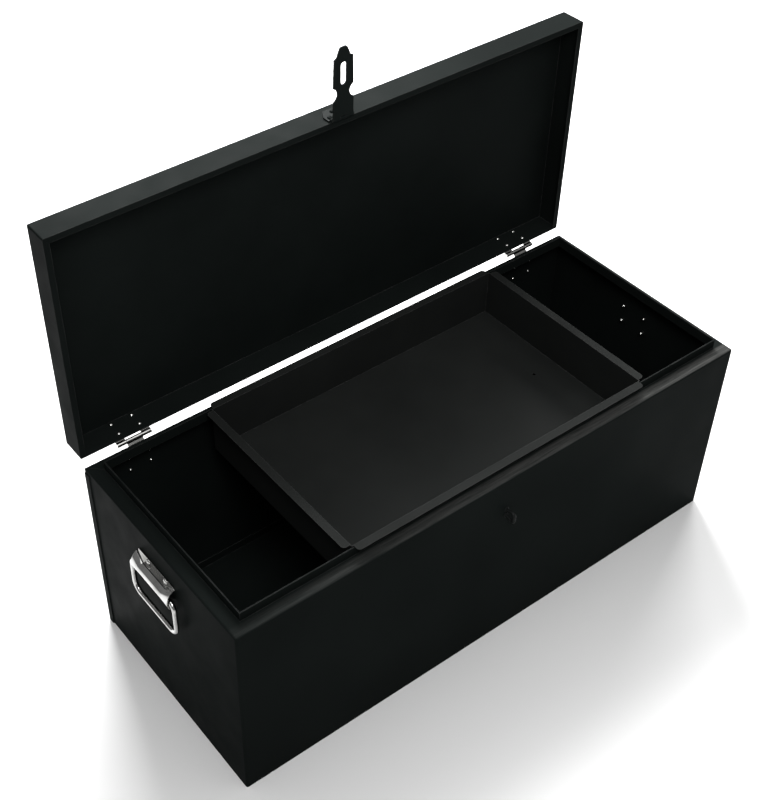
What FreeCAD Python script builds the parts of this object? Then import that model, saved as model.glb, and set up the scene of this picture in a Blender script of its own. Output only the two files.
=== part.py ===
import FreeCAD, Part
import math
import os
import re

import Sketcher

# Steel toolbox: a riveted sheet-metal box with a hinged pan lid, a hasp and staple,
# a drop handle on each end and a lift-out tray that slides along the rim.
# Millimetres, +X along the length, -Y to the front, +Z up.
# The origin is the middle of the box's underside, and the lid stands open.

doc = FreeCAD.newDocument("steel_toolbox")
sheet = doc.addObject("Spreadsheet::Sheet", "sizes")

# Driving dimensions
SIZES = {
    # Body
    "body_length": 812,
    "body_width": 334,
    "body_height": 296,
    "body_sheet": 1.5,
    "body_bend": 3,
    "rim_width": 18.5,
    "rim_upstand": 13.5,
    "rim_mitre_drop": 8,
    "rim_mitre_past": 5,
    "back_lap": 11,
    "lap_round_share": 0.85,
    "floor_flange": 15,
    # Lid, as it lies when closed
    "lid_depth": 37,
    "lid_sheet": 1.2,
    "lid_lip": 8,
    "lid_gap": 1,
    "lid_bend": 2,
    # Tray
    "tray_length": 475,
    "tray_depth": 70.5,
    "tray_sheet": 1,
    "tray_side_gap": 0.5,
    "tray_seat_gap": 0.3,
    "tray_flange": 10,
    "tray_flange_round": 5,
    "tray_corner_slit": 3,
    "tray_bend": 2,
    "tray_place": 8,
    "tray_hole": 5,
    "tray_hole_inset": 41,
    # Hinges
    "hinge_spread": 660,
    "hinge_length": 50,
    "hinge_setback": 7,
    "hinge_sheet": 1.6,
    "middle_knuckle": 23,
    "knuckle_radius": 3.2,
    "knuckle_gap": 0.2,
    "crank_start": 2.2,
    "crank_end": 6,
    "body_leaf_drop": 45,
    "lid_leaf_rise": 35,
    "leaf_corner": 3,
    "hinge_rivet_pitch": 30.5,
    "body_rivet_first": 20,
    "body_rivet_second": 39.5,
    "lid_rivet_first": 10,
    "lid_rivet_second": 30,
    "pin_diameter": 3,
    "pin_fit": 0.1,
    # Rivets
    "shank_diameter": 4,
    "shank_fit": 0.05,
    "head_diameter": 7.5,
    "head_crown": 4.4,
    "head_rise": 1.8,
    "tail_diameter": 5.4,
    "tail_tip": 4.2,
    "hinge_tail": 3,
    "handle_tail": 7,
    # Hasp
    "hasp_setback": 3.6,
    "hasp_knuckle_gap": 0.2,
    "base_width": 34.5,
    "base_rise": 26,
    "base_side": 14.5,
    "base_end_width": 20,
    "base_clearance": 0.4,
    "base_relief": 1.6,
    "hasp_knuckle": 8,
    "strap_sheet": 2,
    "strap_width": 30,
    "strap_end_width": 28,
    "strap_neck_place": 34,
    "strap_neck_width": 18,
    "strap_neck_round": 9.75,
    "strap_wide_to": 80,
    "strap_shoulder": 5,
    "strap_tip_width": 10,
    "strap_length": 94,
    "strap_tip_round": 4,
    "slot_place": 59.5,
    "slot_length": 29.5,
    "slot_width": 8.6,
    "slot_end_flat": 0.2,
    "hasp_rivet_side": 11,
    "hasp_rivet_low": 8,
    "hasp_rivet_high": 18,
    "hasp_pin_head": 2.4,
    "hasp_pin_head_radius": 2.6,
    "hasp_pin_chamfer": 1,
    # Staple
    "staple_bar": 5,
    "staple_drop": 58.5,
    "staple_root": 10.5,
    "staple_out": 17,
    "staple_flare": 10,
    "staple_bend": 4,
    # Handles
    "handle_height": 241,
    "handle_place": 1.5,
    "plate_length": 81.5,
    "plate_height": 38,
    "plate_sheet": 1.6,
    "plate_corner": 2.5,
    "ridge_rise": 14,
    "ridge_half": 9,
    "ridge_bow": 7.5,
    "ridge_straight": 50,
    "mouth_half": 17,
    "mouth_bow": 9,
    "handle_rivet_along": 39,
    "handle_rivet_up": 26.5,
    "bail_rod": 6.5,
    "bail_out": 8.5,
    "bail_width": 96,
    "bail_drop": 55,
    "bail_top_bend": 10,
    "bail_bottom_bend": 14,
    "bail_gap": 24,
}
for row, (alias, size) in enumerate(SIZES.items(), start=1):
    sheet.set(f"A{row}", alias)
    sheet.set(f"B{row}", str(size))
    sheet.setAlias(f"B{row}", alias)
doc.recompute()

# What fits together shares these expressions
INSIDE_X = "body_length / 2 - body_sheet"
INSIDE_Y = "body_width / 2 - body_sheet"
RIM_INSET = "rim_width + body_sheet"
PIN_Y = "body_width / 2 + hinge_setback"
PIN_Z = "body_height + lid_gap"
PIN_BORE = "pin_diameter / 2 + pin_fit"
SHANK_HOLE = "shank_diameter / 2 + shank_fit"
RIDGE_INSIDE = "ridge_rise - plate_sheet"


def tied(expression):
    """The expression with each named size read from the sheet."""
    return re.sub(r"[a-z]\w*", lambda word: "sizes." + word[0] if word[0] in SIZES else word[0], expression)


def number(expression):
    """What an expression comes to with the sheet's present sizes."""
    return float(sheet.evalExpression(tied(expression).replace("sizes.", "")))


def bow_radius(half_chord, rise):
    """Radius of an arc from its half chord and its rise, as an expression."""
    return f"(({half_chord})^2 + ({rise})^2) / (2 * ({rise}))"


def new_piece(label, place=("0", "0", "0"), axis=(0, 0, 1), turn=0):
    """A body with its own label, drawn about its own reference point and then placed."""
    body = doc.addObject("PartDesign::Body", label)
    body.Label = label
    body.Placement = FreeCAD.Placement(FreeCAD.Vector(), FreeCAD.Rotation(FreeCAD.Vector(*axis), turn))
    for letter, expression in zip("xyz", place):
        body.setExpression(f"Placement.Base.{letter}", tied(expression))
    return body


# Each plane's role, and 1 where its sketches face along the positive axis
PLANES = {"XY": ("XY_Plane", 1), "XZ": ("XZ_Plane", -1), "YZ": ("YZ_Plane", 1)}


def new_sketch(body, plane, level, shift=("0", "0")):
    """A sketch on one of the body's own planes, moved to a level along that plane's axis."""
    role, facing = PLANES[plane]
    sketch = body.newObject("Sketcher::SketchObject", "sketch")
    origin_plane = next(item for item in body.Origin.OriginFeatures if item.Role == role)
    sketch.AttachmentSupport = [(origin_plane, "")]
    sketch.MapMode = "FlatFace"
    sketch.setExpression("AttachmentOffset.Base.z", tied(f"{facing} * ({level})"))
    for letter, expression in zip("xy", shift):
        sketch.setExpression(f"AttachmentOffset.Base.{letter}", tied(expression))
    return sketch


def fix_point(sketch, geometry, end, place):
    """Ties one point of a sketch to the sketch's origin, both ways."""
    for kind, expression in zip(("DistanceX", "DistanceY"), place):
        index = sketch.addConstraint(Sketcher.Constraint(kind, -1, 1, geometry, end, number(expression)))
        sketch.setExpression(f"Constraints[{index}]", tied(expression))


def draw_line(sketch, points, closed=True):
    """Lines and arcs through points. A point with a radius starts an arc that turns left or right."""
    places = [FreeCAD.Vector(number(point[0]), number(point[1]), 0) for point in points]
    count = len(points) if closed else len(points) - 1
    ends = []
    for index in range(count):
        start = places[index]
        finish = places[(index + 1) % len(places)]
        if len(points[index]) == 2:
            geometry = sketch.addGeometry(Part.LineSegment(start, finish), False)
            ends.append((geometry, 1, 2))
            continue
        expression, turn = points[index][2:]
        side = 1 if turn == "left" else -1
        radius = number(expression)
        chord = finish - start
        reach = math.sqrt(max(radius ** 2 - (chord.Length / 2) ** 2, 0))
        normal = FreeCAD.Vector(-chord.y, chord.x, 0).normalize() * side
        centre = (start + finish) * 0.5 + normal * reach
        angles = [math.atan2(point.y - centre.y, point.x - centre.x) for point in (start, finish)]
        if side < 0:
            angles.reverse()
        circle = Part.Circle(centre, FreeCAD.Vector(0, 0, 1), radius)
        geometry = sketch.addGeometry(Part.ArcOfCircle(circle, angles[0], angles[1]), False)
        constraint = sketch.addConstraint(Sketcher.Constraint("Radius", geometry, radius))
        sketch.setExpression(f"Constraints[{constraint}]", tied(expression))
        ends.append((geometry, 1, 2) if side > 0 else (geometry, 2, 1))
    for (before, _, last), (after, first, _) in zip(ends, ends[1:] + (ends[:1] if closed else [])):
        sketch.addConstraint(Sketcher.Constraint("Coincident", before, last, after, first))
    for (geometry, first, _), point in zip(ends, points):
        fix_point(sketch, geometry, first, point)
    if not closed:
        fix_point(sketch, ends[-1][0], ends[-1][2], points[-1])


def outline(points):
    return lambda sketch: draw_line(sketch, points)


def rectangle(left, right, low, high):
    return outline([(left, low), (right, low), (right, high), (left, high)])


def centred(half_x, half_y):
    return rectangle(f"-({half_x})", half_x, f"-({half_y})", half_y)


def circle(across, up, radius):
    def draw(sketch):
        centre = FreeCAD.Vector(number(across), number(up), 0)
        ring = Part.Circle(centre, FreeCAD.Vector(0, 0, 1), number(radius))
        geometry = sketch.addGeometry(ring, False)
        constraint = sketch.addConstraint(Sketcher.Constraint("Radius", geometry, number(radius)))
        sketch.setExpression(f"Constraints[{constraint}]", tied(radius))
        fix_point(sketch, geometry, 3, (across, up))
    return draw


def circles(spots, radius):
    return [circle(across, up, radius) for across, up in spots]


def layer(body, kind, plane, low, high, shapes):
    """Material added to or cut from a body between two levels along the plane's axis."""
    sketch = new_sketch(body, plane, low)
    for draw in shapes:
        draw(sketch)
    feature = body.newObject(f"PartDesign::{kind}", kind.lower())
    feature.Profile = sketch
    feature.setExpression("Length", tied(f"({high}) - ({low})"))
    facing = PLANES[plane][1]
    feature.Reversed = facing < 0 if kind == "Pad" else facing > 0
    return feature


def add(body, plane, low, high, *shapes):
    layer(body, "Pad", plane, low, high, shapes)


def cut(body, plane, low, high, *shapes):
    """A cut has to take material away, so the volume is compared."""
    doc.recompute()
    before = body.Tip.Shape.Volume
    feature = layer(body, "Pocket", plane, low, high, shapes)
    doc.recompute()
    if feature.Shape.Volume > before - 1e-6:
        raise RuntimeError(f"{body.Label}: a cut took nothing away")


def round_edges(body, radius, wanted):
    """A fillet on the edges whose middle point the test picks."""
    doc.recompute()
    base = body.Tip
    names = []
    for index, edge in enumerate(base.Shape.Edges, start=1):
        first, last = edge.ParameterRange
        if wanted(edge, edge.valueAt((first + last) / 2)):
            names.append(f"Edge{index}")
    if not names:
        raise RuntimeError(f"{body.Label}: no edge to round")
    feature = body.newObject("PartDesign::Fillet", "fillet")
    feature.Base = (base, names)
    feature.setExpression("Radius", tied(radius))


def near(value, expression):
    return abs(value - number(expression)) < 0.01


def upright(edge):
    """True for a straight edge along Z."""
    if len(edge.Vertexes) < 2:
        return False
    step = edge.Vertexes[1].Point - edge.Vertexes[0].Point
    return abs(step.x) < 1e-6 and abs(step.y) < 1e-6


def sweep(body, plane, route, profile_plane, profile_level, profile):
    """A round bar along an open route of lines and arcs."""
    path = new_sketch(body, plane, "0")
    draw_line(path, route, closed=False)
    section = new_sketch(body, profile_plane, profile_level)
    profile(section)
    feature = body.newObject("PartDesign::AdditivePipe", "pipe")
    feature.Profile = section
    feature.Spine = (path, [f"Edge{index + 1}" for index in range(len(route) - 1)])
    return feature


# Where rivets go: each pattern is used for the holes and for the rivets

def hinge_spots(levels):
    spots = []
    for side in ("-", "+"):
        for step in ("-", "+"):
            spots += [(f"{side}hinge_spread / 2 {step} hinge_rivet_pitch / 2", level) for level in levels]
    return spots


BODY_HINGE_SPOTS = hinge_spots(["-body_rivet_first", "-body_rivet_second"])
LID_HINGE_SPOTS = hinge_spots(["lid_rivet_first", "lid_rivet_second"])
HASP_SPOTS = [
    ("-hasp_rivet_side", "hasp_rivet_low"),
    ("hasp_rivet_side", "hasp_rivet_low"),
    ("0", "hasp_rivet_high"),
]
HANDLE_SPOTS = [
    (f"{across} * handle_rivet_along / 2", f"{up} * handle_rivet_up / 2")
    for across in (-1, 1)
    for up in (-1, 1)
]


def moved(spots, across, up):
    return [(f"{first} + ({across})", f"{second} + ({up})") for first, second in spots]


# Body

def rim_ring(label):
    """The four walls with the folded rim, from which the wrap and the back are parted."""
    body = new_piece(label)
    half_x = "body_length / 2"
    half_y = "body_width / 2"
    add(body, "XY", "0", "body_height", centred(half_x, half_y))
    round_edges(body, "body_bend", lambda edge, middle: near(middle.z, "body_height")
                or (upright(edge) and near(middle.y, "-body_width / 2")))
    add(body, "XY", "body_height - body_sheet", "body_height + rim_upstand",
        centred(f"{half_x} - rim_width", f"{half_y} - rim_width"))
    cut(body, "XY", "0", "body_height + rim_upstand",
        centred(f"{half_x} - ({RIM_INSET})", f"{half_y} - ({RIM_INSET})"))
    cut(body, "XY", "0", "body_height - body_sheet", centred(INSIDE_X, INSIDE_Y))
    round_edges(body, "body_bend - body_sheet", lambda edge, middle: upright(edge)
                and near(middle.y, f"-({INSIDE_Y})"))
    return body


def mitre_zone():
    """Plan outline of the back part of the rim, mitred at both corners."""
    reach = f"({RIM_INSET} + rim_mitre_past)"
    return [
        ("-body_length / 2", "body_width / 2"),
        (f"-body_length / 2 + {reach}", f"body_width / 2 - {reach}"),
        (f"body_length / 2 - {reach}", f"body_width / 2 - {reach}"),
        ("body_length / 2", "body_width / 2"),
    ]


MITRE_LEVEL = "body_height - rim_mitre_drop"

wrap = rim_ring("body_wrap")
cut(wrap, "XY", "0", MITRE_LEVEL,
    rectangle("-body_length / 2", "body_length / 2", INSIDE_Y, "body_width / 2"))
cut(wrap, "XY", MITRE_LEVEL, "body_height + rim_upstand", outline(mitre_zone()))
for low, high in (("-body_length / 2", f"-({INSIDE_X})"), (INSIDE_X, "body_length / 2")):
    cut(wrap, "YZ", low, high, *circles(moved(HANDLE_SPOTS, "handle_place", "handle_height"), SHANK_HOLE))

back = rim_ring("back_panel")
cut(back, "XY", "0", MITRE_LEVEL,
    rectangle("-body_length / 2", "body_length / 2", "-body_width / 2", INSIDE_Y))
cut(back, "XY", MITRE_LEVEL, "body_height + rim_upstand", outline(
    mitre_zone() + [("body_length / 2", "-body_width / 2"), ("-body_length / 2", "-body_width / 2")]))
for side in ("-", ""):
    add(back, "XY", "0", MITRE_LEVEL, outline([
        (f"{side}(body_length / 2 - body_bend)", "body_width / 2"),
        (f"{side}(body_length / 2 - body_bend)", INSIDE_Y),
        (f"{side}body_length / 2", INSIDE_Y),
        (f"{side}body_length / 2", "body_width / 2 - back_lap"),
        (f"{side}(body_length / 2 + body_sheet)", "body_width / 2 - back_lap"),
        (f"{side}(body_length / 2 + body_sheet)", "body_width / 2"),
    ]))
round_edges(back, "body_sheet * lap_round_share", lambda edge, middle: upright(edge)
            and near(abs(middle.x), "body_length / 2 + body_sheet") and near(middle.y, "body_width / 2"))
cut(back, "XZ", INSIDE_Y, "body_width / 2", *circles(moved(BODY_HINGE_SPOTS, "0", "body_height"), SHANK_HOLE))

pan = new_piece("floor_pan")
add(pan, "XY", "0", "floor_flange", centred(INSIDE_X, INSIDE_Y))
round_edges(pan, "body_bend - body_sheet", lambda edge, middle: upright(edge) and middle.y < 0)
cut(pan, "XY", "body_sheet", "floor_flange",
    centred(f"{INSIDE_X} - body_sheet", f"{INSIDE_Y} - body_sheet"))

# Staple: a bent bar welded by both legs to the front wall. Its legs are drawn from behind
# the wall's face and cut off flush with it.
staple = new_piece("staple", ("0", "-body_width / 2", "body_height - staple_drop"))
leg_stub = "staple_bar"
leg_out = "staple_out - staple_bar / 2"
leg_height = f"(staple_root / 2 + ({leg_out}) * tan(staple_flare))"
bend_reach = "staple_bend * tan((90 + staple_flare) / 2)"
staple_half = [
    (leg_stub, f"staple_root / 2 - {leg_stub} * tan(staple_flare)"),
    (f"-({leg_out}) + {bend_reach} * cos(staple_flare)", f"{leg_height} - {bend_reach} * sin(staple_flare)"),
    (f"-({leg_out})", f"{leg_height} - {bend_reach}"),
]
staple_route = [
    staple_half[0],
    staple_half[1] + ("staple_bend", "left"),
    staple_half[2],
    (staple_half[2][0], f"-({staple_half[2][1]})", "staple_bend", "left"),
    (staple_half[1][0], f"-({staple_half[1][1]})"),
    (staple_half[0][0], f"-({staple_half[0][1]})"),
]
sweep(staple, "YZ", staple_route, "XZ", staple_half[0][0], circle("0", staple_half[0][1], "staple_bar / 2"))
cut(staple, "XZ", "0", f"{leg_stub} + staple_bar", centred("staple_bar", "staple_root + staple_bar"))


def new_lid_piece(label, across="0"):
    """A piece drawn with the lid closed, about the hinge pin, and turned back to stand open."""
    return new_piece(label, (across, PIN_Y, PIN_Z), (1, 0, 0), -90)


LID_FRONT = "-(body_width + hinge_setback)"
lid = new_lid_piece("lid_pan")
add(lid, "XY", "0", "lid_depth",
    rectangle("-body_length / 2", "body_length / 2", LID_FRONT, "-hinge_setback"))
round_edges(lid, "lid_bend", lambda edge, middle: near(middle.z, "lid_depth") or upright(edge))
cut(lid, "XY", "0", "lid_sheet",
    rectangle("-body_length / 2 + lid_lip", "body_length / 2 - lid_lip",
              f"{LID_FRONT} + lid_lip", "-hinge_setback - lid_sheet"))
cut(lid, "XY", "lid_sheet", "lid_depth - lid_sheet",
    rectangle("-body_length / 2 + lid_sheet", "body_length / 2 - lid_sheet",
              f"{LID_FRONT} + lid_sheet", "-hinge_setback - lid_sheet"))
cut(lid, "XZ", "-hinge_setback - lid_sheet", "-hinge_setback", *circles(LID_HINGE_SPOTS, SHANK_HOLE))
cut(lid, "XZ", LID_FRONT, f"{LID_FRONT} + lid_sheet", *circles(HASP_SPOTS, SHANK_HOLE))


# Hinges: cranked leaves whose knuckles are rolled round one pin

def hinge_leaf(body, away, reach):
    """A cranked strip from the barrel to its far edge, up for the lid and down for the body."""
    flat_inner = "-hinge_setback"
    flat_outer = "-hinge_setback + hinge_sheet"
    neck_inner = "-knuckle_radius"
    neck_outer = "-knuckle_radius + hinge_sheet"
    add(body, "YZ", "-hinge_length / 2", "hinge_length / 2", outline([
        (flat_inner, f"{away} * {reach}"),
        (flat_inner, f"{away} * crank_end"),
        (neck_inner, f"{away} * crank_start"),
        (neck_inner, "0"),
        (neck_outer, "0"),
        (neck_outer, f"{away} * crank_start"),
        (flat_outer, f"{away} * crank_end"),
        (flat_outer, f"{away} * {reach}"),
    ]))
    round_edges(body, "leaf_corner", lambda edge, middle: edge.Length < number("hinge_sheet") + 0.01
                and near(abs(middle.x), "hinge_length / 2") and near(middle.z, f"{away} * {reach}"))
    add(body, "YZ", "-hinge_length / 2", "hinge_length / 2", circle("0", "0", "knuckle_radius"))
    cut(body, "YZ", "-hinge_length / 2", "hinge_length / 2", circle("0", "0", PIN_BORE))


for side, sign in (("left", "-"), ("right", "")):
    across = f"{sign}hinge_spread / 2"
    steps = ("-hinge_rivet_pitch / 2", "hinge_rivet_pitch / 2")

    leaf = new_piece(f"{side}_hinge_body_leaf", (across, PIN_Y, PIN_Z))
    hinge_leaf(leaf, "-1", "body_leaf_drop")
    end, middle = "hinge_length / 2", "middle_knuckle / 2"
    for low, high in ((f"-{end}", f"-{middle}"), (middle, end)):
        cut(leaf, "YZ", low, high, rectangle(
            "-hinge_setback", "knuckle_radius", "-crank_end", "knuckle_radius"))
    rows = ("-body_rivet_first - lid_gap", "-body_rivet_second - lid_gap")
    cut(leaf, "XZ", "-hinge_setback", "-hinge_setback + hinge_sheet",
        *circles([(step, row) for step in steps for row in rows], SHANK_HOLE))

    leaf = new_lid_piece(f"{side}_hinge_lid_leaf", across)
    hinge_leaf(leaf, "1", "lid_leaf_rise")
    notch = "middle_knuckle / 2 + knuckle_gap"
    cut(leaf, "YZ", f"-({notch})", notch, rectangle(
        "-hinge_setback", "knuckle_radius", "-knuckle_radius", "crank_end"))
    rows = ("lid_rivet_first", "lid_rivet_second")
    cut(leaf, "XZ", "-hinge_setback", "-hinge_setback + hinge_sheet",
        *circles([(step, row) for step in steps for row in rows], SHANK_HOLE))

    pin = new_piece(f"{side}_hinge_pin", (across, PIN_Y, PIN_Z))
    add(pin, "YZ", "-hinge_length / 2", "hinge_length / 2", circle("0", "0", "pin_diameter / 2"))


# Blind rivets: a flanged head outside, a shank through both sheets and a tail swollen behind them

def rivet_group(body, plane, outside, tail_side, grip, tail, spots):
    """Rivets whose heads stand on the outside level, with their tails towards the tail side."""
    inner = f"{outside} + ({tail_side}) * ({grip})"
    head_top = f"{outside} - ({tail_side}) * head_rise"
    tail_end = f"{inner} + ({tail_side}) * {tail}"
    # Half a section from the tail's end to the head's crown, as distance from the axis and level
    profile = [
        ("0", tail_end),
        ("tail_tip / 2", tail_end),
        ("tail_diameter / 2", inner),
        ("shank_diameter / 2", inner),
        ("shank_diameter / 2", outside),
        ("head_diameter / 2", outside),
        ("head_crown / 2", head_top),
        ("0", head_top),
    ]
    upright_axis = plane == "XZ"
    points = [point if upright_axis else point[::-1] for point in profile]
    for across, up in spots:
        sketch = new_sketch(body, "XY", up, (across, "0") if upright_axis else ("0", across))
        draw_line(sketch, points)
        feature = body.newObject("PartDesign::Revolution", "rivet")
        feature.Profile = sketch
        feature.ReferenceAxis = (sketch, ["V_Axis" if upright_axis else "H_Axis"])
        feature.Angle = 360


rivets = new_piece("body_hinge_rivets")
rivet_group(rivets, "XZ", "body_width / 2 + hinge_sheet", -1, "hinge_sheet + body_sheet", "hinge_tail",
            moved(BODY_HINGE_SPOTS, "0", "body_height"))
rivets = new_lid_piece("lid_hinge_rivets")
rivet_group(rivets, "XZ", "-hinge_setback + hinge_sheet", -1, "hinge_sheet + lid_sheet", "hinge_tail",
            LID_HINGE_SPOTS)


# Hasp: a riveted base, a swinging strap and the headed pin that joins them
HASP_Y = f"{LID_FRONT} - hasp_setback"
HASP_Z = "-lid_gap"
base_inner = "hasp_setback"
base_outer = "knuckle_radius - hinge_sheet"
base_foot = "knuckle_radius + base_clearance"
tongue = "hasp_knuckle / 2 - hasp_knuckle_gap"

# The open lid carries the hasp pin to its top edge
HASP_PLACE = ("0", f"{PIN_Y} + ({HASP_Z})", f"{PIN_Z} - ({HASP_Y})")

base = new_piece("hasp_base", HASP_PLACE, (1, 0, 0), -90)
add(base, "XZ", base_outer, base_inner, outline([
    ("-base_width / 2", base_foot),
    (f"-({tongue}) - base_relief", base_foot),
    (f"-({tongue}) - base_relief", f"{base_foot} + base_relief"),
    (f"-({tongue})", f"{base_foot} + base_relief"),
    (f"-({tongue})", "lid_gap"),
    (tongue, "lid_gap"),
    (tongue, f"{base_foot} + base_relief"),
    (f"{tongue} + base_relief", f"{base_foot} + base_relief"),
    (f"{tongue} + base_relief", base_foot),
    ("base_width / 2", base_foot),
    ("base_width / 2", "base_side"),
    ("base_end_width / 2", "base_rise"),
    ("-base_end_width / 2", "base_rise"),
    ("-base_width / 2", "base_side"),
]))
add(base, "XZ", base_outer, "knuckle_radius", rectangle(f"-({tongue})", tongue, "0", "lid_gap"))
add(base, "YZ", f"-({tongue})", tongue, circle("0", "0", "knuckle_radius"))
cut(base, "YZ", f"-({tongue})", tongue, circle("0", "0", PIN_BORE))
cut(base, "XZ", base_outer, base_inner, *circles(moved(HASP_SPOTS, "0", "lid_gap"), SHANK_HOLE))

strap = new_piece("hasp_strap", HASP_PLACE, (1, 0, 0), 180)
strap_near = "knuckle_radius - strap_sheet"
add(strap, "XZ", strap_near, "knuckle_radius", outline([
    ("-strap_width / 2", "0"),
    ("-strap_width / 2", "-strap_neck_place - strap_neck_width / 2"),
    ("-strap_end_width / 2", "-strap_wide_to"),
    ("-strap_end_width / 2 + strap_shoulder", "-strap_wide_to - strap_shoulder"),
    ("-strap_tip_width / 2", "-strap_length"),
    ("strap_tip_width / 2", "-strap_length"),
    ("strap_end_width / 2 - strap_shoulder", "-strap_wide_to - strap_shoulder"),
    ("strap_end_width / 2", "-strap_wide_to"),
    ("strap_width / 2", "-strap_neck_place - strap_neck_width / 2"),
    ("strap_width / 2", "0"),
]))
round_edges(strap, "strap_tip_round", lambda edge, middle: edge.Length < number("strap_sheet") + 0.01
            and near(middle.z, "-strap_length"))
neck_centre = "strap_neck_width / 2 + strap_neck_round"
cut(strap, "XZ", strap_near, "knuckle_radius",
    circle(f"-({neck_centre})", "-strap_neck_place", "strap_neck_round"),
    circle(neck_centre, "-strap_neck_place", "strap_neck_round"))
cut(strap, "XZ", strap_near, "knuckle_radius",
    circle("-strap_end_width / 2", "-strap_wide_to - strap_shoulder", "strap_shoulder"),
    circle("strap_end_width / 2", "-strap_wide_to - strap_shoulder", "strap_shoulder"))
cut(strap, "XZ", strap_near, "knuckle_radius", rectangle(
    "-slot_width / 2", "slot_width / 2", "-slot_place - slot_length / 2", "-slot_place + slot_length / 2"))
round_edges(strap, "(slot_width - slot_end_flat) / 2", lambda edge, middle:
            edge.Length < number("strap_sheet") + 0.01
            and near(abs(middle.x), "slot_width / 2")
            and near(abs(middle.z + number("slot_place")), "slot_length / 2"))
add(strap, "YZ", "-strap_width / 2", "strap_width / 2", circle("0", "0", "knuckle_radius"))
cut(strap, "YZ", "-strap_width / 2", "strap_width / 2", circle("0", "0", PIN_BORE))
cut(strap, "YZ", "-hasp_knuckle / 2", "hasp_knuckle / 2", rectangle(
    "-knuckle_radius", "knuckle_radius", f"-({base_foot})", "knuckle_radius"))

hasp_pin = new_piece("hasp_pin", HASP_PLACE)
head_start = "strap_width / 2 + hasp_knuckle_gap"
head_end = f"{head_start} + hasp_pin_head"
pin_section = new_sketch(hasp_pin, "XY", "0")
pin_half = [
    (head_end, "0"),
    (head_end, "hasp_pin_head_radius - hasp_pin_chamfer"),
    (f"{head_end} - hasp_pin_chamfer", "hasp_pin_head_radius"),
    (head_start, "hasp_pin_head_radius"),
    (head_start, "pin_diameter / 2"),
]
draw_line(pin_section, pin_half + [(f"-({along})", out) for along, out in reversed(pin_half)])
turned = hasp_pin.newObject("PartDesign::Revolution", "turned")
turned.Profile = pin_section
turned.ReferenceAxis = (pin_section, ["H_Axis"])
turned.Angle = 360

rivets = new_lid_piece("hasp_rivets")
hasp_grip = f"{base_inner} - ({base_outer}) + lid_sheet"
rivet_group(rivets, "XZ", f"{HASP_Y} + {base_outer}", 1, hasp_grip, "hinge_tail", HASP_SPOTS)


# Handles are drawn outwards along X from the end panel, about the plate's centre

def ridge_section(half, bow, rise):
    """Straight sides and a bowed crown, from the panel outwards."""
    shoulder = f"{rise} - {bow}"
    return outline([
        ("0", f"-({half})"),
        (shoulder, f"-({half})", bow_radius(half, bow), "left"),
        (shoulder, half),
        ("0", half),
    ])


def mouth(body, kind, side, half_near, half_far, trim):
    """The flare from the straight ridge to the hooded mouth at one end."""
    sections = []
    levels = ("ridge_straight / 2", "plate_length / 2")
    for level, half, bow in zip(levels, (half_near, half_far), ("ridge_bow", "mouth_bow")):
        section = new_sketch(body, "XZ", f"{side} * {level}")
        ridge_section(half, f"({bow} - {trim})", f"(ridge_rise - {trim})")(section)
        sections.append(section)
    feature = body.newObject(f"PartDesign::{kind}", "mouth")
    feature.Profile = sections[0]
    feature.Sections = sections[1:]
    feature.Ruled = True


def handle_plate(label, place, turn):
    """Plate with a pressed half-round ridge that opens into a hood at each end."""
    body = new_piece(label, place, (0, 0, 1), turn)
    add(body, "YZ", "0", "plate_sheet", centred("plate_length / 2", "plate_height / 2"))
    round_edges(body, "plate_corner", lambda edge, middle: edge.Length < number("plate_sheet") + 0.01)
    add(body, "XZ", "-ridge_straight / 2", "ridge_straight / 2",
        ridge_section("ridge_half", "ridge_bow", "ridge_rise"))
    for side in (-1, 1):
        mouth(body, "AdditiveLoft", side, "ridge_half", "mouth_half", "0")
    cut(body, "XZ", "-ridge_straight / 2", "ridge_straight / 2",
        ridge_section("ridge_half - plate_sheet", "(ridge_bow - plate_sheet)", f"({RIDGE_INSIDE})"))
    for side in (-1, 1):
        mouth(body, "SubtractiveLoft", side, "ridge_half - plate_sheet", "mouth_half - plate_sheet",
              "plate_sheet")
    cut(body, "YZ", "0", "plate_sheet", *circles(HANDLE_SPOTS, SHANK_HOLE))


def handle_bail(label, place, turn):
    """A round rod bent to an open loop, with both ends inside the ridge."""
    body = new_piece(label, place, (0, 0, 1), turn)
    half = "bail_width / 2"
    top = "bail_top_bend"
    low = "bail_bottom_bend"
    route = [
        ("-bail_gap / 2", "0"),
        (f"-{half} + {top}", "0", top, "left"),
        (f"-{half}", f"-{top}"),
        (f"-{half}", f"-bail_drop + {low}", low, "left"),
        (f"-{half} + {low}", "-bail_drop"),
        (f"{half} - {low}", "-bail_drop", low, "left"),
        (half, f"-bail_drop + {low}"),
        (half, f"-{top}", top, "left"),
        (f"{half} - {top}", "0"),
        ("bail_gap / 2", "0"),
    ]
    sweep(body, "YZ", route, "XZ", "-bail_gap / 2", circle("0", "0", "bail_rod / 2"))


for side, sign, turn in (("left", "-", 180), ("right", "", 0)):
    face = f"{sign}body_length / 2"
    handle_plate(f"{side}_handle_plate", (face, "handle_place", "handle_height"), turn)
    axis_x = f"{sign}(body_length / 2 + bail_out)"
    handle_bail(f"{side}_handle_bail", (axis_x, "handle_place", "handle_height"), turn)
    rivets = new_piece(f"{side}_handle_rivets", (face, "handle_place", "handle_height"), (0, 0, 1), turn)
    rivet_group(rivets, "YZ", "plate_sheet", -1, "plate_sheet + body_sheet", "handle_tail", HANDLE_SPOTS)


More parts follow.
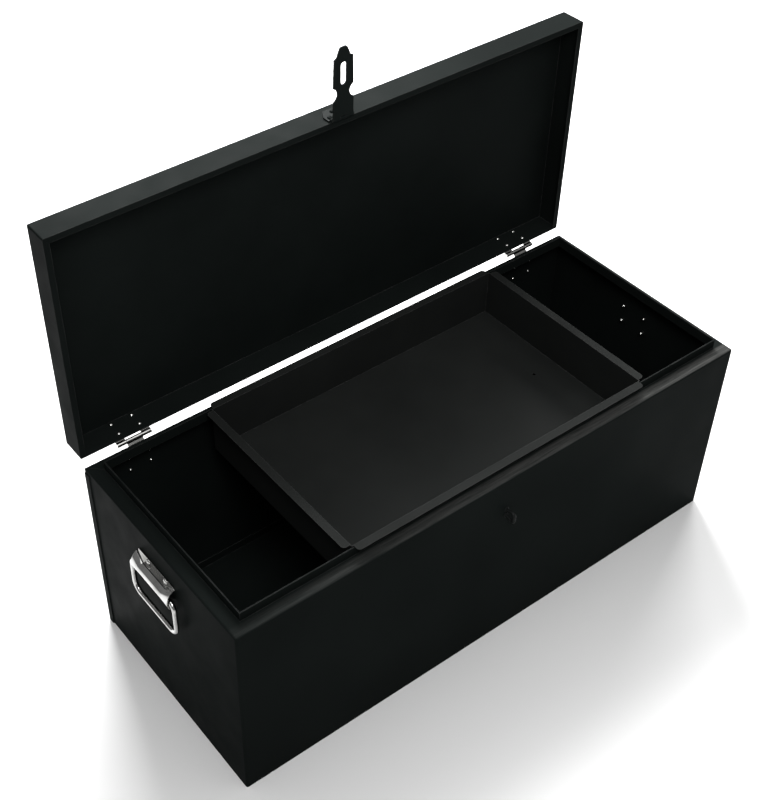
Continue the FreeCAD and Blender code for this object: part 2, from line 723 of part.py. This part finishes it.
# Tray: a shallow pan whose out-turned flanges slide on the rim's upstand
tray = new_piece("tray_pan", ("tray_place", "0", "body_height + rim_upstand + tray_seat_gap + tray_sheet"))
tray_half_x = "tray_length / 2"
tray_half_y = f"body_width / 2 - ({RIM_INSET}) - tray_side_gap"
add(tray, "XY", "-tray_depth", "0", centred(tray_half_x, tray_half_y))
round_edges(tray, "tray_bend", lambda edge, middle: upright(edge) or near(middle.z, "-tray_depth"))
for sign, opposite in (("-", ""), ("", "-")):
    edge_x = f"{sign}({tray_half_x})"
    edge_y = f"{sign}({tray_half_y})"
    out_x = f"{sign}({tray_half_x} + tray_flange)"
    out_y = f"{sign}({tray_half_y} + tray_flange)"
    span_x = f"{tray_half_x} - tray_corner_slit"
    span_y = f"{tray_half_y} - tray_corner_slit"
    inward_x = f"{sign}({tray_half_x} - tray_sheet)"
    inward_y = f"{sign}({tray_half_y} - tray_sheet)"
    add(tray, "XY", "-tray_sheet", "0", rectangle(f"-({span_x})", span_x, inward_y, out_y))
    add(tray, "XY", "-tray_sheet", "0", rectangle(inward_x, out_x, f"-({span_y})", span_y))
round_edges(tray, "tray_flange_round", lambda edge, middle: upright(edge)
            and near(middle.z, "-tray_sheet / 2")
            and (near(abs(middle.x), f"{tray_half_x} + tray_flange")
                 or near(abs(middle.y), f"{tray_half_y} + tray_flange")))
cut(tray, "XY", "-tray_depth + tray_sheet", "0",
    centred(f"{tray_half_x} - tray_sheet", f"{tray_half_y} - tray_sheet"))
cut(tray, "XY", "-tray_depth", "-tray_depth + tray_sheet",
    circle(f"{tray_half_x} - tray_hole_inset", "0", "tray_hole / 2"))

# Check every object before anything is written
doc.recompute()
for item in doc.Objects:
    if {"Invalid", "Error"} & set(item.State):
        raise RuntimeError(f"{item.Label} failed: {item.State}")
pieces = [item for item in doc.Objects if item.TypeId == "PartDesign::Body"]
for piece in pieces:
    if piece.Shape.isNull() or not piece.Shape.isValid():
        raise RuntimeError(f"{piece.Label} has no valid shape")

os.makedirs("parts", exist_ok=True)
for piece in pieces:
    piece.Shape.exportStep(f"parts/{piece.Label}.step")
    box = piece.Shape.BoundBox
    corners = " ".join(f"{low:.1f}..{high:.1f}" for low, high in (
        (box.XMin, box.XMax), (box.YMin, box.YMax), (box.ZMin, box.ZMax)))
    print(f"{piece.Label}: {len(piece.Shape.Solids)} solids, {piece.Shape.Volume:.0f} mm3, {corners}")
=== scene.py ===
import math

import bpy
from mathutils import Matrix, Vector


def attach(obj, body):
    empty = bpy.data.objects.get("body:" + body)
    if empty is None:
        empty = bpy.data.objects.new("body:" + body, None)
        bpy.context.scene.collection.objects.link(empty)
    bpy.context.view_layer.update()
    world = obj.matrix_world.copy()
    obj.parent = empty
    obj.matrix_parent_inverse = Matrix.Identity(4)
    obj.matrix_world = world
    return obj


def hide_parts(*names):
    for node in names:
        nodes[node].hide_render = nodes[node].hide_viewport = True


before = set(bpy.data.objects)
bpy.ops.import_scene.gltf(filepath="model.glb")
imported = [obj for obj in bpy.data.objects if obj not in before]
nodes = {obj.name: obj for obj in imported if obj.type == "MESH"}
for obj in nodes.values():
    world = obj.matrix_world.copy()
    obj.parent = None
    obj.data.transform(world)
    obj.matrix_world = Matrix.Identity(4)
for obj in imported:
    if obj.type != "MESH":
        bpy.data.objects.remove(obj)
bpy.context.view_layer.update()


# Studio
# The box stands on a plain pale paper floor under one broad lamp, with two strong soft
# lamps high behind it for the sheen on level steel and a weak one beside the camera.

def finish_shader(name, base_colour):
    """A new material, its links and its shader, with the plain base colour set."""
    material = bpy.data.materials.new(name)
    material.use_nodes = True
    tree = material.node_tree
    shader = tree.nodes["Principled BSDF"]
    shader.inputs["Base Color"].default_value = (*base_colour, 1)
    return material, tree, shader


paper_side = 28.0
paper_white = 0.64
paper_clouding = 0.01
paper_cloud_scale = 1.5
bpy.ops.mesh.primitive_plane_add(size=paper_side, location=(0, 0, 0))
floor = bpy.context.object
floor.name = "studio_floor"

floor_paint, floor_tree, floor_shader = finish_shader("studio_paper", (paper_white,) * 3)
floor_shader.inputs["Roughness"].default_value = 0.9
floor_shader.inputs["Specular IOR Level"].default_value = 0.1
paper_noise = floor_tree.nodes.new("ShaderNodeTexNoise")
paper_noise.inputs["Scale"].default_value = paper_cloud_scale
paper_tint = floor_tree.nodes.new("ShaderNodeMapRange")
paper_tint.inputs["To Min"].default_value = paper_white - paper_clouding
paper_tint.inputs["To Max"].default_value = paper_white + paper_clouding
floor_tree.links.new(paper_noise.outputs["Fac"], paper_tint.inputs["Value"])
floor_tree.links.new(paper_tint.outputs["Result"], floor_shader.inputs["Base Color"])
floor.data.materials.append(floor_paint)


def soft_lamp(name, place, aim, size, power):
    """A square area lamp at a place, turned to face its aim."""
    lamp = bpy.data.lights.new(name, "AREA")
    lamp.shape = "SQUARE"
    lamp.size = size
    lamp.energy = power
    holder = bpy.data.objects.new(name, lamp)
    holder.location = place
    holder.rotation_euler = (Vector(aim) - Vector(place)).to_track_quat("-Z", "Y").to_euler()
    bpy.context.scene.collection.objects.link(holder)


soft_lamp("overhead_lamp", place=(-0.1, -0.3, 2.9), aim=(-0.1, -0.3, 0), size=3.0, power=52)
soft_lamp("back_lamp", place=(0.75, 1.75, 2.05), aim=(0, 0, 0.3), size=1.4, power=220)
soft_lamp("far_lamp", place=(2.7, 1.5, 2.6), aim=(0.2, 0, 0.3), size=1.2, power=95)
soft_lamp("fill_lamp", place=(-0.7, -1.2, 2.1), aim=(0, 0, 0.2), size=0.7, power=24)

air_strength = 0.25
world = bpy.data.worlds.new("studio_air")
world.use_nodes = True
world.node_tree.nodes["Background"].inputs["Color"].default_value = (1, 1, 1, 1)
world.node_tree.nodes["Background"].inputs["Strength"].default_value = air_strength
bpy.context.scene.world = world
bpy.context.scene.view_settings.view_transform = "Standard"


# Camera
# It stands in front of the box's left end, a metre and a half up, and looks down
# into the open box. Its small turn and shift are the photograph's own framing.

camera_place = Vector((-0.8822, -0.9744, 1.5050))
camera_aim = Vector((-0.0239, 0.2155, 0.1624))
camera_roll = math.radians(-0.977)
lens_length, film_width, sideways_shift = 61.8, 36, 0.0969

camera_lens = bpy.data.cameras.new("camera")
camera_lens.lens = lens_length
camera_lens.sensor_width = film_width
camera_lens.shift_x = sideways_shift
camera = bpy.data.objects.new("camera", camera_lens)
looking = (camera_aim - camera_place).to_track_quat("-Z", "Y").to_matrix().to_4x4()
camera.matrix_world = Matrix.Translation(camera_place) @ looking @ Matrix.Rotation(camera_roll, 4, "Z")
bpy.context.scene.collection.objects.link(camera)
bpy.context.scene.camera = camera


# Box
# Folded steel sheet: one sheet makes the front and both ends, a second one the back,
# and a flanged pan is welded in as the floor. All are coated with black powder paint.

def new_group(name, inputs, outputs):
    """An empty shader node group with its sockets, and its two end nodes."""
    group = bpy.data.node_groups.new(name, "ShaderNodeTree")
    for label, kind, value in inputs:
        socket = group.interface.new_socket(label, in_out="INPUT", socket_type=kind)
        socket.default_value = value
    for label, kind in outputs:
        group.interface.new_socket(label, in_out="OUTPUT", socket_type=kind)
    return group, group.nodes.new("NodeGroupInput"), group.nodes.new("NodeGroupOutput")


def add_node(tree, kind, settings=None, values=None):
    """A node with its properties and its unlinked inputs set."""
    node = tree.nodes.new(kind)
    for name, value in (settings or {}).items():
        setattr(node, name, value)
    for socket, value in (values or {}).items():
        node.inputs[socket].default_value = value
    return node


def noise(tree, scale, detail=3.0, roughness=0.5):
    """Noise over the object's own coordinates, in features per metre."""
    place = add_node(tree, "ShaderNodeTexCoord")
    texture = add_node(tree, "ShaderNodeTexNoise", values={
        "Scale": scale, "Detail": detail, "Roughness": roughness})
    tree.links.new(place.outputs["Object"], texture.inputs["Vector"])
    return texture.outputs["Fac"]


def ramp(tree, value, low, high, out_low, out_high):
    """A clamped straight-line map of a value."""
    node = add_node(tree, "ShaderNodeMapRange", values={
        "From Min": low, "From Max": high, "To Min": out_low, "To Max": out_high})
    tree.links.new(value, node.inputs["Value"])
    return node.outputs["Result"]


def maths(tree, operation, first, second):
    """One arithmetic step on two values, each a socket or a number."""
    node = add_node(tree, "ShaderNodeMath", {"operation": operation})
    for index, value in enumerate((first, second)):
        if isinstance(value, (int, float)):
            node.inputs[index].default_value = value
        else:
            tree.links.new(value, node.inputs[index])
    return node.outputs["Value"]


def mix_colour(tree, amount, first, second):
    """A colour mix. Each colour is a socket or a plain triple. The node has a set of
    sockets for each kind of value, and these three are its colour ones."""
    first_colour, second_colour, mixed_colour = 6, 7, 2
    node = add_node(tree, "ShaderNodeMix", {"data_type": "RGBA"})
    tree.links.new(amount, node.inputs["Factor"])
    for index, value in ((first_colour, first), (second_colour, second)):
        if isinstance(value, tuple):
            node.inputs[index].default_value = (*value, 1)
        else:
            tree.links.new(value, node.inputs[index])
    return node.outputs[mixed_colour]


# Where the surface turns sharply within a small distance, the mask is 1
# The mask lightens the paint along every sharp turn: part edge wear, part painted highlight on the
# folds
edge_rub_highlight_group, edge_in, edge_out = new_group(
    "edge_rub_and_highlight", [("Width", "NodeSocketFloat", 0.001), ("Breakup", "NodeSocketFloat", 60.0)],
    [("Mask", "NodeSocketFloat")])
edge_bevel = add_node(edge_rub_highlight_group, "ShaderNodeBevel", {"samples": 4})
edge_geometry = add_node(edge_rub_highlight_group, "ShaderNodeNewGeometry")
edge_dot = add_node(edge_rub_highlight_group, "ShaderNodeVectorMath", {"operation": "DOT_PRODUCT"})
edge_rub_highlight_group.links.new(edge_in.outputs["Width"], edge_bevel.inputs["Radius"])
edge_rub_highlight_group.links.new(edge_bevel.outputs["Normal"], edge_dot.inputs[0])
edge_rub_highlight_group.links.new(edge_geometry.outputs["Normal"], edge_dot.inputs[1])
edge_turn = ramp(edge_rub_highlight_group, edge_dot.outputs["Value"], 0.995, 0.85, 0.0, 1.0)
edge_place = add_node(edge_rub_highlight_group, "ShaderNodeTexCoord")
edge_noise = add_node(edge_rub_highlight_group, "ShaderNodeTexNoise", values={"Detail": 4.0})
edge_rub_highlight_group.links.new(edge_place.outputs["Object"], edge_noise.inputs["Vector"])
edge_rub_highlight_group.links.new(edge_in.outputs["Breakup"], edge_noise.inputs["Scale"])
edge_broken = ramp(edge_rub_highlight_group, edge_noise.outputs["Fac"], 0.35, 0.6, 0.25, 1.0)
edge_rub_highlight_group.links.new(maths(edge_rub_highlight_group, "MULTIPLY", edge_turn, edge_broken), edge_out.inputs["Mask"])

# Powder paint: a fine orange-peel skin with faint clouding, dulled a little by handling
powder_group, powder_in, powder_out = new_group(
    "powder_coat",
    [("Colour", "NodeSocketColor", (0.01, 0.01, 0.01, 1)),
     ("Edge Rub And Highlight Colour", "NodeSocketColor", (0.03, 0.03, 0.03, 1)),
     ("Edge Rub And Highlight", "NodeSocketFloat", 0.0),
     ("Roughness", "NodeSocketFloat", 0.45)],
    [("Colour", "NodeSocketColor"), ("Roughness", "NodeSocketFloat"), ("Height", "NodeSocketFloat")])
peel = noise(powder_group, 700.0, 2.0, 0.4)
grit = noise(powder_group, 2600.0, 2.0, 0.6)
cloud = noise(powder_group, 7.0, 4.0, 0.55)
smear = noise(powder_group, 28.0, 5.0, 0.6)
clouded = add_node(powder_group, "ShaderNodeHueSaturation")
powder_group.links.new(powder_in.outputs["Colour"], clouded.inputs["Color"])
powder_group.links.new(ramp(powder_group, cloud, 0.3, 0.7, 0.85, 1.15), clouded.inputs["Value"])
# Lighter colour where the edge mask is: edge wear and a painted highlight
powder_colour = mix_colour(powder_group, powder_in.outputs["Edge Rub And Highlight"],
                           clouded.outputs["Color"], powder_in.outputs["Edge Rub And Highlight Colour"])
powder_group.links.new(powder_colour, powder_out.inputs["Colour"])
dulling = ramp(powder_group, smear, 0.3, 0.7, -0.07, 0.08)
powder_rough = maths(powder_group, "ADD", powder_in.outputs["Roughness"], dulling)
powder_group.links.new(powder_rough, powder_out.inputs["Roughness"])
powder_height = maths(powder_group, "ADD", peel, maths(powder_group, "MULTIPLY", grit, 0.35))
powder_group.links.new(powder_height, powder_out.inputs["Height"])


def use_group(tree, group, values):
    """A group node with its inputs set to colours or numbers."""
    node = add_node(tree, "ShaderNodeGroup", {"node_tree": group})
    for socket, value in values.items():
        node.inputs[socket].default_value = (*value, 1) if isinstance(value, tuple) else value
    return node


peel_strength, peel_depth = 0.6, 0.00004
painted_fold_radius = 0.0005


def painted(name, colour, rub_highlight_colour, roughness, gloss, rub_highlight_width=0.0011):
    """Powder-coated steel in one black, a little lighter at its edges, where the paint is rubbed and a
    highlight is painted on.
    """
    material, tree, shader = finish_shader(name, colour)
    rub_highlight_mask = use_group(tree, edge_rub_highlight_group, {"Width": rub_highlight_width})
    coat = use_group(tree, powder_group, {
        "Colour": colour, "Edge Rub And Highlight Colour": rub_highlight_colour, "Roughness": roughness})
    tree.links.new(rub_highlight_mask.outputs["Mask"], coat.inputs["Edge Rub And Highlight"])
    tree.links.new(coat.outputs["Colour"], shader.inputs["Base Color"])
    tree.links.new(coat.outputs["Roughness"], shader.inputs["Roughness"])
    bump = add_node(tree, "ShaderNodeBump", values={"Strength": peel_strength, "Distance": peel_depth})
    soft_edge = add_node(tree, "ShaderNodeBevel", {"samples": 4}, {"Radius": painted_fold_radius})
    tree.links.new(soft_edge.outputs["Normal"], bump.inputs["Normal"])
    tree.links.new(coat.outputs["Height"], bump.inputs["Height"])
    tree.links.new(bump.outputs["Normal"], shader.inputs["Normal"])
    shader.inputs["Specular IOR Level"].default_value = gloss
    return material


# In metres: the height of the front rim's level flange, where its strip ends towards
# the back, and the length over which its scuffs and painted sheen grow lighter from left to right
rim_level = (0.286, 0.292)
front_strip = (-0.154, -0.150)
painted_sheen_grows = (-0.42, 0.1)


def scuffed_and_sheen_front_rim(material, worn_and_sheen_colour):
    """Fine lengthwise scuffs on the front rim's level flange, painted lighter to the right as a sheen
    on the level steel.
    """
    tree = material.node_tree
    shader = tree.nodes["Principled BSDF"]
    paint_colour = shader.inputs["Base Color"].links[0].from_socket
    place = add_node(tree, "ShaderNodeTexCoord")
    stretch = add_node(tree, "ShaderNodeMapping", values={"Scale": (1.5, 60, 1)})
    scuffs = add_node(tree, "ShaderNodeTexNoise", values={
        "Scale": 12.0, "Detail": 6.0, "Roughness": 0.75})
    tree.links.new(place.outputs["Object"], stretch.inputs["Vector"])
    tree.links.new(stretch.outputs["Vector"], scuffs.inputs["Vector"])
    spot = add_node(tree, "ShaderNodeSeparateXYZ")
    tree.links.new(place.outputs["Object"], spot.inputs["Vector"])
    facing = add_node(tree, "ShaderNodeSeparateXYZ")
    tree.links.new(place.outputs["Normal"], facing.inputs["Vector"])
    worn_and_sheen = ramp(tree, scuffs.outputs["Fac"], 0.35, 0.7, 0.1, 1.0)
    # Scuffs on the up-facing flange, painted lighter towards the right as a sheen
    for where in (ramp(tree, spot.outputs["Z"], *rim_level, 0.0, 1.0),
                  ramp(tree, spot.outputs["Y"], *front_strip, 1.0, 0.0),
                  ramp(tree, spot.outputs["X"], *painted_sheen_grows, 0.1, 1.0),
                  ramp(tree, facing.outputs["Z"], 0.5, 0.9, 0.0, 1.0)):
        worn_and_sheen = maths(tree, "MULTIPLY", worn_and_sheen, where)
    tree.links.new(mix_colour(tree, worn_and_sheen, paint_colour, worn_and_sheen_colour), shader.inputs["Base Color"])


def dress(node, material):
    """Gives a construction piece one material in place of its plain one."""
    mesh = nodes[node].data
    mesh.materials.clear()
    mesh.materials.append(material)
    for face in mesh.polygons:
        face.material_index = 0


# A lighter black for the edges: rubbed paint and a painted highlight
rub_highlight_black = (0.036, 0.036, 0.036)
box_paint = painted("box_powder_coat", (0.0060, 0.0075, 0.0071), rub_highlight_black, 0.42, 0.003)
# The front rim's flange: scuffs with a painted sheen, lighter to the right
scuffed_and_sheen_front_rim(box_paint, worn_and_sheen_colour=(0.06, 0.06, 0.058))
for node in ("body_wrap", "back_panel", "floor_pan"):
    dress(node, box_paint)


# Lid
# A shallow pan folded from thinner sheet, with narrow lips round its open edge,
# coated like the box.

lid_paint = painted("lid_powder_coat", (0.0062, 0.0077, 0.0073), rub_highlight_black, 0.42, 0.003)
dress("lid_pan", lid_paint)


# Tray
# A pan of thin sheet whose four flanges are turned out over the rim. It lifts out.

# The tray's lighter edge black: rubbed paint and a painted highlight
tray_rub_highlight = (0.045, 0.045, 0.045)
tray_paint = painted("tray_powder_coat", (0.0115, 0.0124, 0.0119), tray_rub_highlight, 0.38, 0.006)
dress("tray_pan", tray_paint)


# Hinges
# Pressed and rolled steel leaves, zinc plated, on a drawn steel pin.

# Plated steel: faint clouding, in colour and in roughness, and tiny pits
plate_group, plate_in, plate_out = new_group(
    "bright_plate",
    [("Colour", "NodeSocketColor", (0.7, 0.7, 0.7, 1)),
     ("Dull Colour", "NodeSocketColor", (0.4, 0.4, 0.4, 1)),
     ("Roughness", "NodeSocketFloat", 0.25)],
    [("Colour", "NodeSocketColor"), ("Roughness", "NodeSocketFloat"), ("Height", "NodeSocketFloat")])
bloom = noise(plate_group, 60.0, 5.0, 0.6)
pits = noise(plate_group, 1400.0, 3.0, 0.6)
plate_colour = mix_colour(plate_group, ramp(plate_group, bloom, 0.45, 0.75, 0.0, 1.0),
                          plate_in.outputs["Colour"], plate_in.outputs["Dull Colour"])
plate_group.links.new(plate_colour, plate_out.inputs["Colour"])
plate_rough = maths(plate_group, "ADD", plate_in.outputs["Roughness"],
                    ramp(plate_group, bloom, 0.3, 0.7, -0.06, 0.1))
plate_group.links.new(plate_rough, plate_out.inputs["Roughness"])
plate_group.links.new(pits, plate_out.inputs["Height"])


pit_strength, pit_depth = 0.5, 0.00003
plated_fold_radius = 0.0004


def plated(name, colour, dull_colour, roughness):
    """Bright plated steel with clouding and tiny pits."""
    material, tree, shader = finish_shader(name, colour)
    plate = use_group(tree, plate_group, {
        "Colour": colour, "Dull Colour": dull_colour, "Roughness": roughness})
    tree.links.new(plate.outputs["Colour"], shader.inputs["Base Color"])
    tree.links.new(plate.outputs["Roughness"], shader.inputs["Roughness"])
    bump = add_node(tree, "ShaderNodeBump", values={"Strength": pit_strength, "Distance": pit_depth})
    soft_edge = add_node(tree, "ShaderNodeBevel", {"samples": 4}, {"Radius": plated_fold_radius})
    tree.links.new(soft_edge.outputs["Normal"], bump.inputs["Normal"])
    tree.links.new(plate.outputs["Height"], bump.inputs["Height"])
    tree.links.new(bump.outputs["Normal"], shader.inputs["Normal"])
    shader.inputs["Metallic"].default_value = 1.0
    return material


hinge_zinc = plated("hinge_zinc", (0.52, 0.52, 0.5), (0.36, 0.36, 0.35), 0.17)
pin_steel = plated("drawn_pin_steel", (0.7, 0.7, 0.69), (0.5, 0.5, 0.49), 0.18)
for side in ("left", "right"):
    dress(f"{side}_hinge_body_leaf", hinge_zinc)
    dress(f"{side}_hinge_lid_leaf", hinge_zinc)
    dress(f"{side}_hinge_pin", pin_steel)


# Rivets
# Blind rivets of plated steel: a domed flange outside with the broken pin down its
# hole, and inside the set tail, swollen behind the sheet and closed by the pin's head.

def new_piece(name, points, faces):
    """A smooth-shaded piece made from its points and faces, in metres."""
    mesh = bpy.data.meshes.new(name)
    mesh.from_pydata(points, [], faces)
    mesh.shade_smooth()
    piece = bpy.data.objects.new(name, mesh)
    bpy.context.scene.collection.objects.link(piece)
    return piece


rivet_sides = 28
sharpest_smooth_turn = math.radians(38)


def turned(name, profile, spots, outward):
    """Copies of a form turned about the outward direction. Each point of its profile
    is a radius and a level, in millimetres, from the outer end to the inner end."""
    outward = Vector(outward)
    side = outward.orthogonal().normalized()
    up = outward.cross(side)
    points, faces = [], []
    for spot in spots:
        rings = []
        for radius, level in profile:
            ring = []
            for step in range(rivet_sides if radius else 1):
                angle = 2 * math.pi * step / rivet_sides
                offset = (side * math.cos(angle) + up * math.sin(angle)) * radius + outward * level
                ring.append(len(points))
                points.append((Vector(spot) + offset) / 1000)
            rings.append(ring)
        for first, second in zip(rings, rings[1:]):
            for step in range(rivet_sides):
                after = (step + 1) % rivet_sides
                corners = [first[step % len(first)], second[step % len(second)],
                           second[after % len(second)], first[after % len(first)]]
                faces.append(list(dict.fromkeys(corners)))
    piece = new_piece(name, points, faces)
    piece.data.set_sharp_from_angle(angle=sharpest_smooth_turn)
    return piece


# The head as radius and height, from the broken pin in its hole out to the flange,
# and the tail as radius and share of its length
rivet_head = [(0, 1.15), (0.8, 1.1), (0.95, 0.75), (1.15, 0.75), (1.2, 1.65), (1.5, 1.8),
              (2.2, 1.66), (2.8, 1.35), (3.3, 0.9), (3.62, 0.45), (3.75, 0.15), (3.7, 0), (2, 0)]
rivet_tail = [(2, 0), (2.4, 0.02), (2.66, 0.12), (2.7, 0.4), (2.5, 0.6), (2.1, 0.76),
              (1.7, 0.82), (1.66, 0.88), (1.35, 0.95), (0.8, 0.99), (0, 1)]


def blind_rivets(name, node, body, spots, outward, grip, tail, material):
    """Set blind rivets in place of a construction node. Spots are on the outer face."""
    profile = rivet_head + [(radius, -grip - share * tail) for radius, share in rivet_tail]
    piece = turned(name, profile, spots, outward)
    piece.data.materials.append(material)
    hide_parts(node)
    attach(piece, body)


rivet_steel = plated("rivet_steel", (0.66, 0.66, 0.64), (0.42, 0.42, 0.41), 0.22)
hinge_grip, lid_grip, handle_grip = 3.1, 2.8, 3.1
hinge_tail, handle_tail = 3.0, 7.0
hinge_columns = (-345.25, -314.75, 314.75, 345.25)
body_leaf_face, lid_leaf_face, handle_plate_face = 168.6, 302.4, 407.6
blind_rivets("body_hinge_blind_rivets", "body_hinge_rivets", "body",
             [(x, body_leaf_face, z) for x in hinge_columns for z in (256.5, 276)],
             (0, 1, 0), hinge_grip, hinge_tail, rivet_steel)
blind_rivets("lid_hinge_blind_rivets", "lid_hinge_rivets", "lid",
             [(x, y, lid_leaf_face) for x in hinge_columns for y in (184, 204)],
             (0, 0, -1), lid_grip, hinge_tail, rivet_steel)
for side, end in (("left", -1), ("right", 1)):
    blind_rivets(f"{side}_handle_blind_rivets", f"{side}_handle_rivets", "body",
                 [(end * handle_plate_face, y, z) for y in (-18, 21) for z in (227.75, 254.25)],
                 (end, 0, 0), handle_grip, handle_tail, rivet_steel)


# Hasp and staple
# A pressed strap that swings on a headed pin in a riveted base, and a bent bar
# welded to the front for it to drop over, all painted black.

# The hasp's lighter edge black, on narrower edges: rubbed paint and a painted highlight
hasp_rub_highlight, narrow_rub_highlight = (0.05, 0.05, 0.048), 0.0006
hasp_paint = painted("hasp_black", (0.0056, 0.0074, 0.0070), hasp_rub_highlight, 0.42, 0.009, narrow_rub_highlight)
for node in ("hasp_base", "hasp_strap", "hasp_pin"):
    dress(node, hasp_paint)
staple_paint = painted("staple_black", (0.008, 0.009, 0.0088), hasp_rub_highlight, 0.3, 0.05, narrow_rub_highlight)
dress("staple", staple_paint)
hasp_grip = 3.2
blind_rivets("hasp_blind_rivets", "hasp_rivets", "lid",
             [(-11, 182, 640), (11, 182, 640), (0, 192, 640)],
             (0, 0, 1), hasp_grip, hinge_tail, hasp_paint)

# The weld round each foot of the staple: overlapping drops of metal in a ring.
# All sizes are in millimetres.
weld_drops, steps_to_a_drop, arc_points = 9, 6, 8
weld_reach, weld_swell, drop_swell = 2.6, 0.95, 0.28
front_wall_face = -167


def foot_weld(name, height):
    """A ring of weld drops on the front wall, round a foot at this height."""
    points, faces = [], []
    steps = weld_drops * steps_to_a_drop
    for step in range(steps):
        turn = 2 * math.pi * step / steps
        swell = weld_swell + drop_swell * abs(math.sin(turn * weld_drops / 2))
        for part in range(arc_points):
            angle = math.pi * part / (arc_points - 1)
            reach = weld_reach + swell * math.cos(angle)
            points.append((reach * math.cos(turn) / 1000,
                           (front_wall_face - swell * math.sin(angle)) / 1000,
                           (height + reach * math.sin(turn)) / 1000))
    for step in range(steps):
        here, after = step * arc_points, (step + 1) % steps * arc_points
        for part in range(arc_points - 1):
            faces.append([here + part, after + part, after + part + 1, here + part + 1])
        faces.append([here, here + arc_points - 1, after + arc_points - 1, after])
    weld = new_piece(name, points, faces)
    weld.data.materials.append(staple_paint)
    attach(weld, "body")


foot_weld("staple_upper_weld", 242.75)
foot_weld("staple_lower_weld", 232.25)


# Handles
# Each end has a pressed plate whose half-round ridge holds a loop of round bar,
# both bright zinc plated, with four rivets through the end panel.

handle_zinc = plated("handle_zinc", (0.5, 0.5, 0.49), (0.28, 0.28, 0.27), 0.1)
bail_zinc = plated("bail_zinc", (0.5, 0.5, 0.49), (0.34, 0.34, 0.33), 0.12)
for side in ("left", "right"):
    dress(f"{side}_handle_plate", handle_zinc)
    dress(f"{side}_handle_bail", bail_zinc)
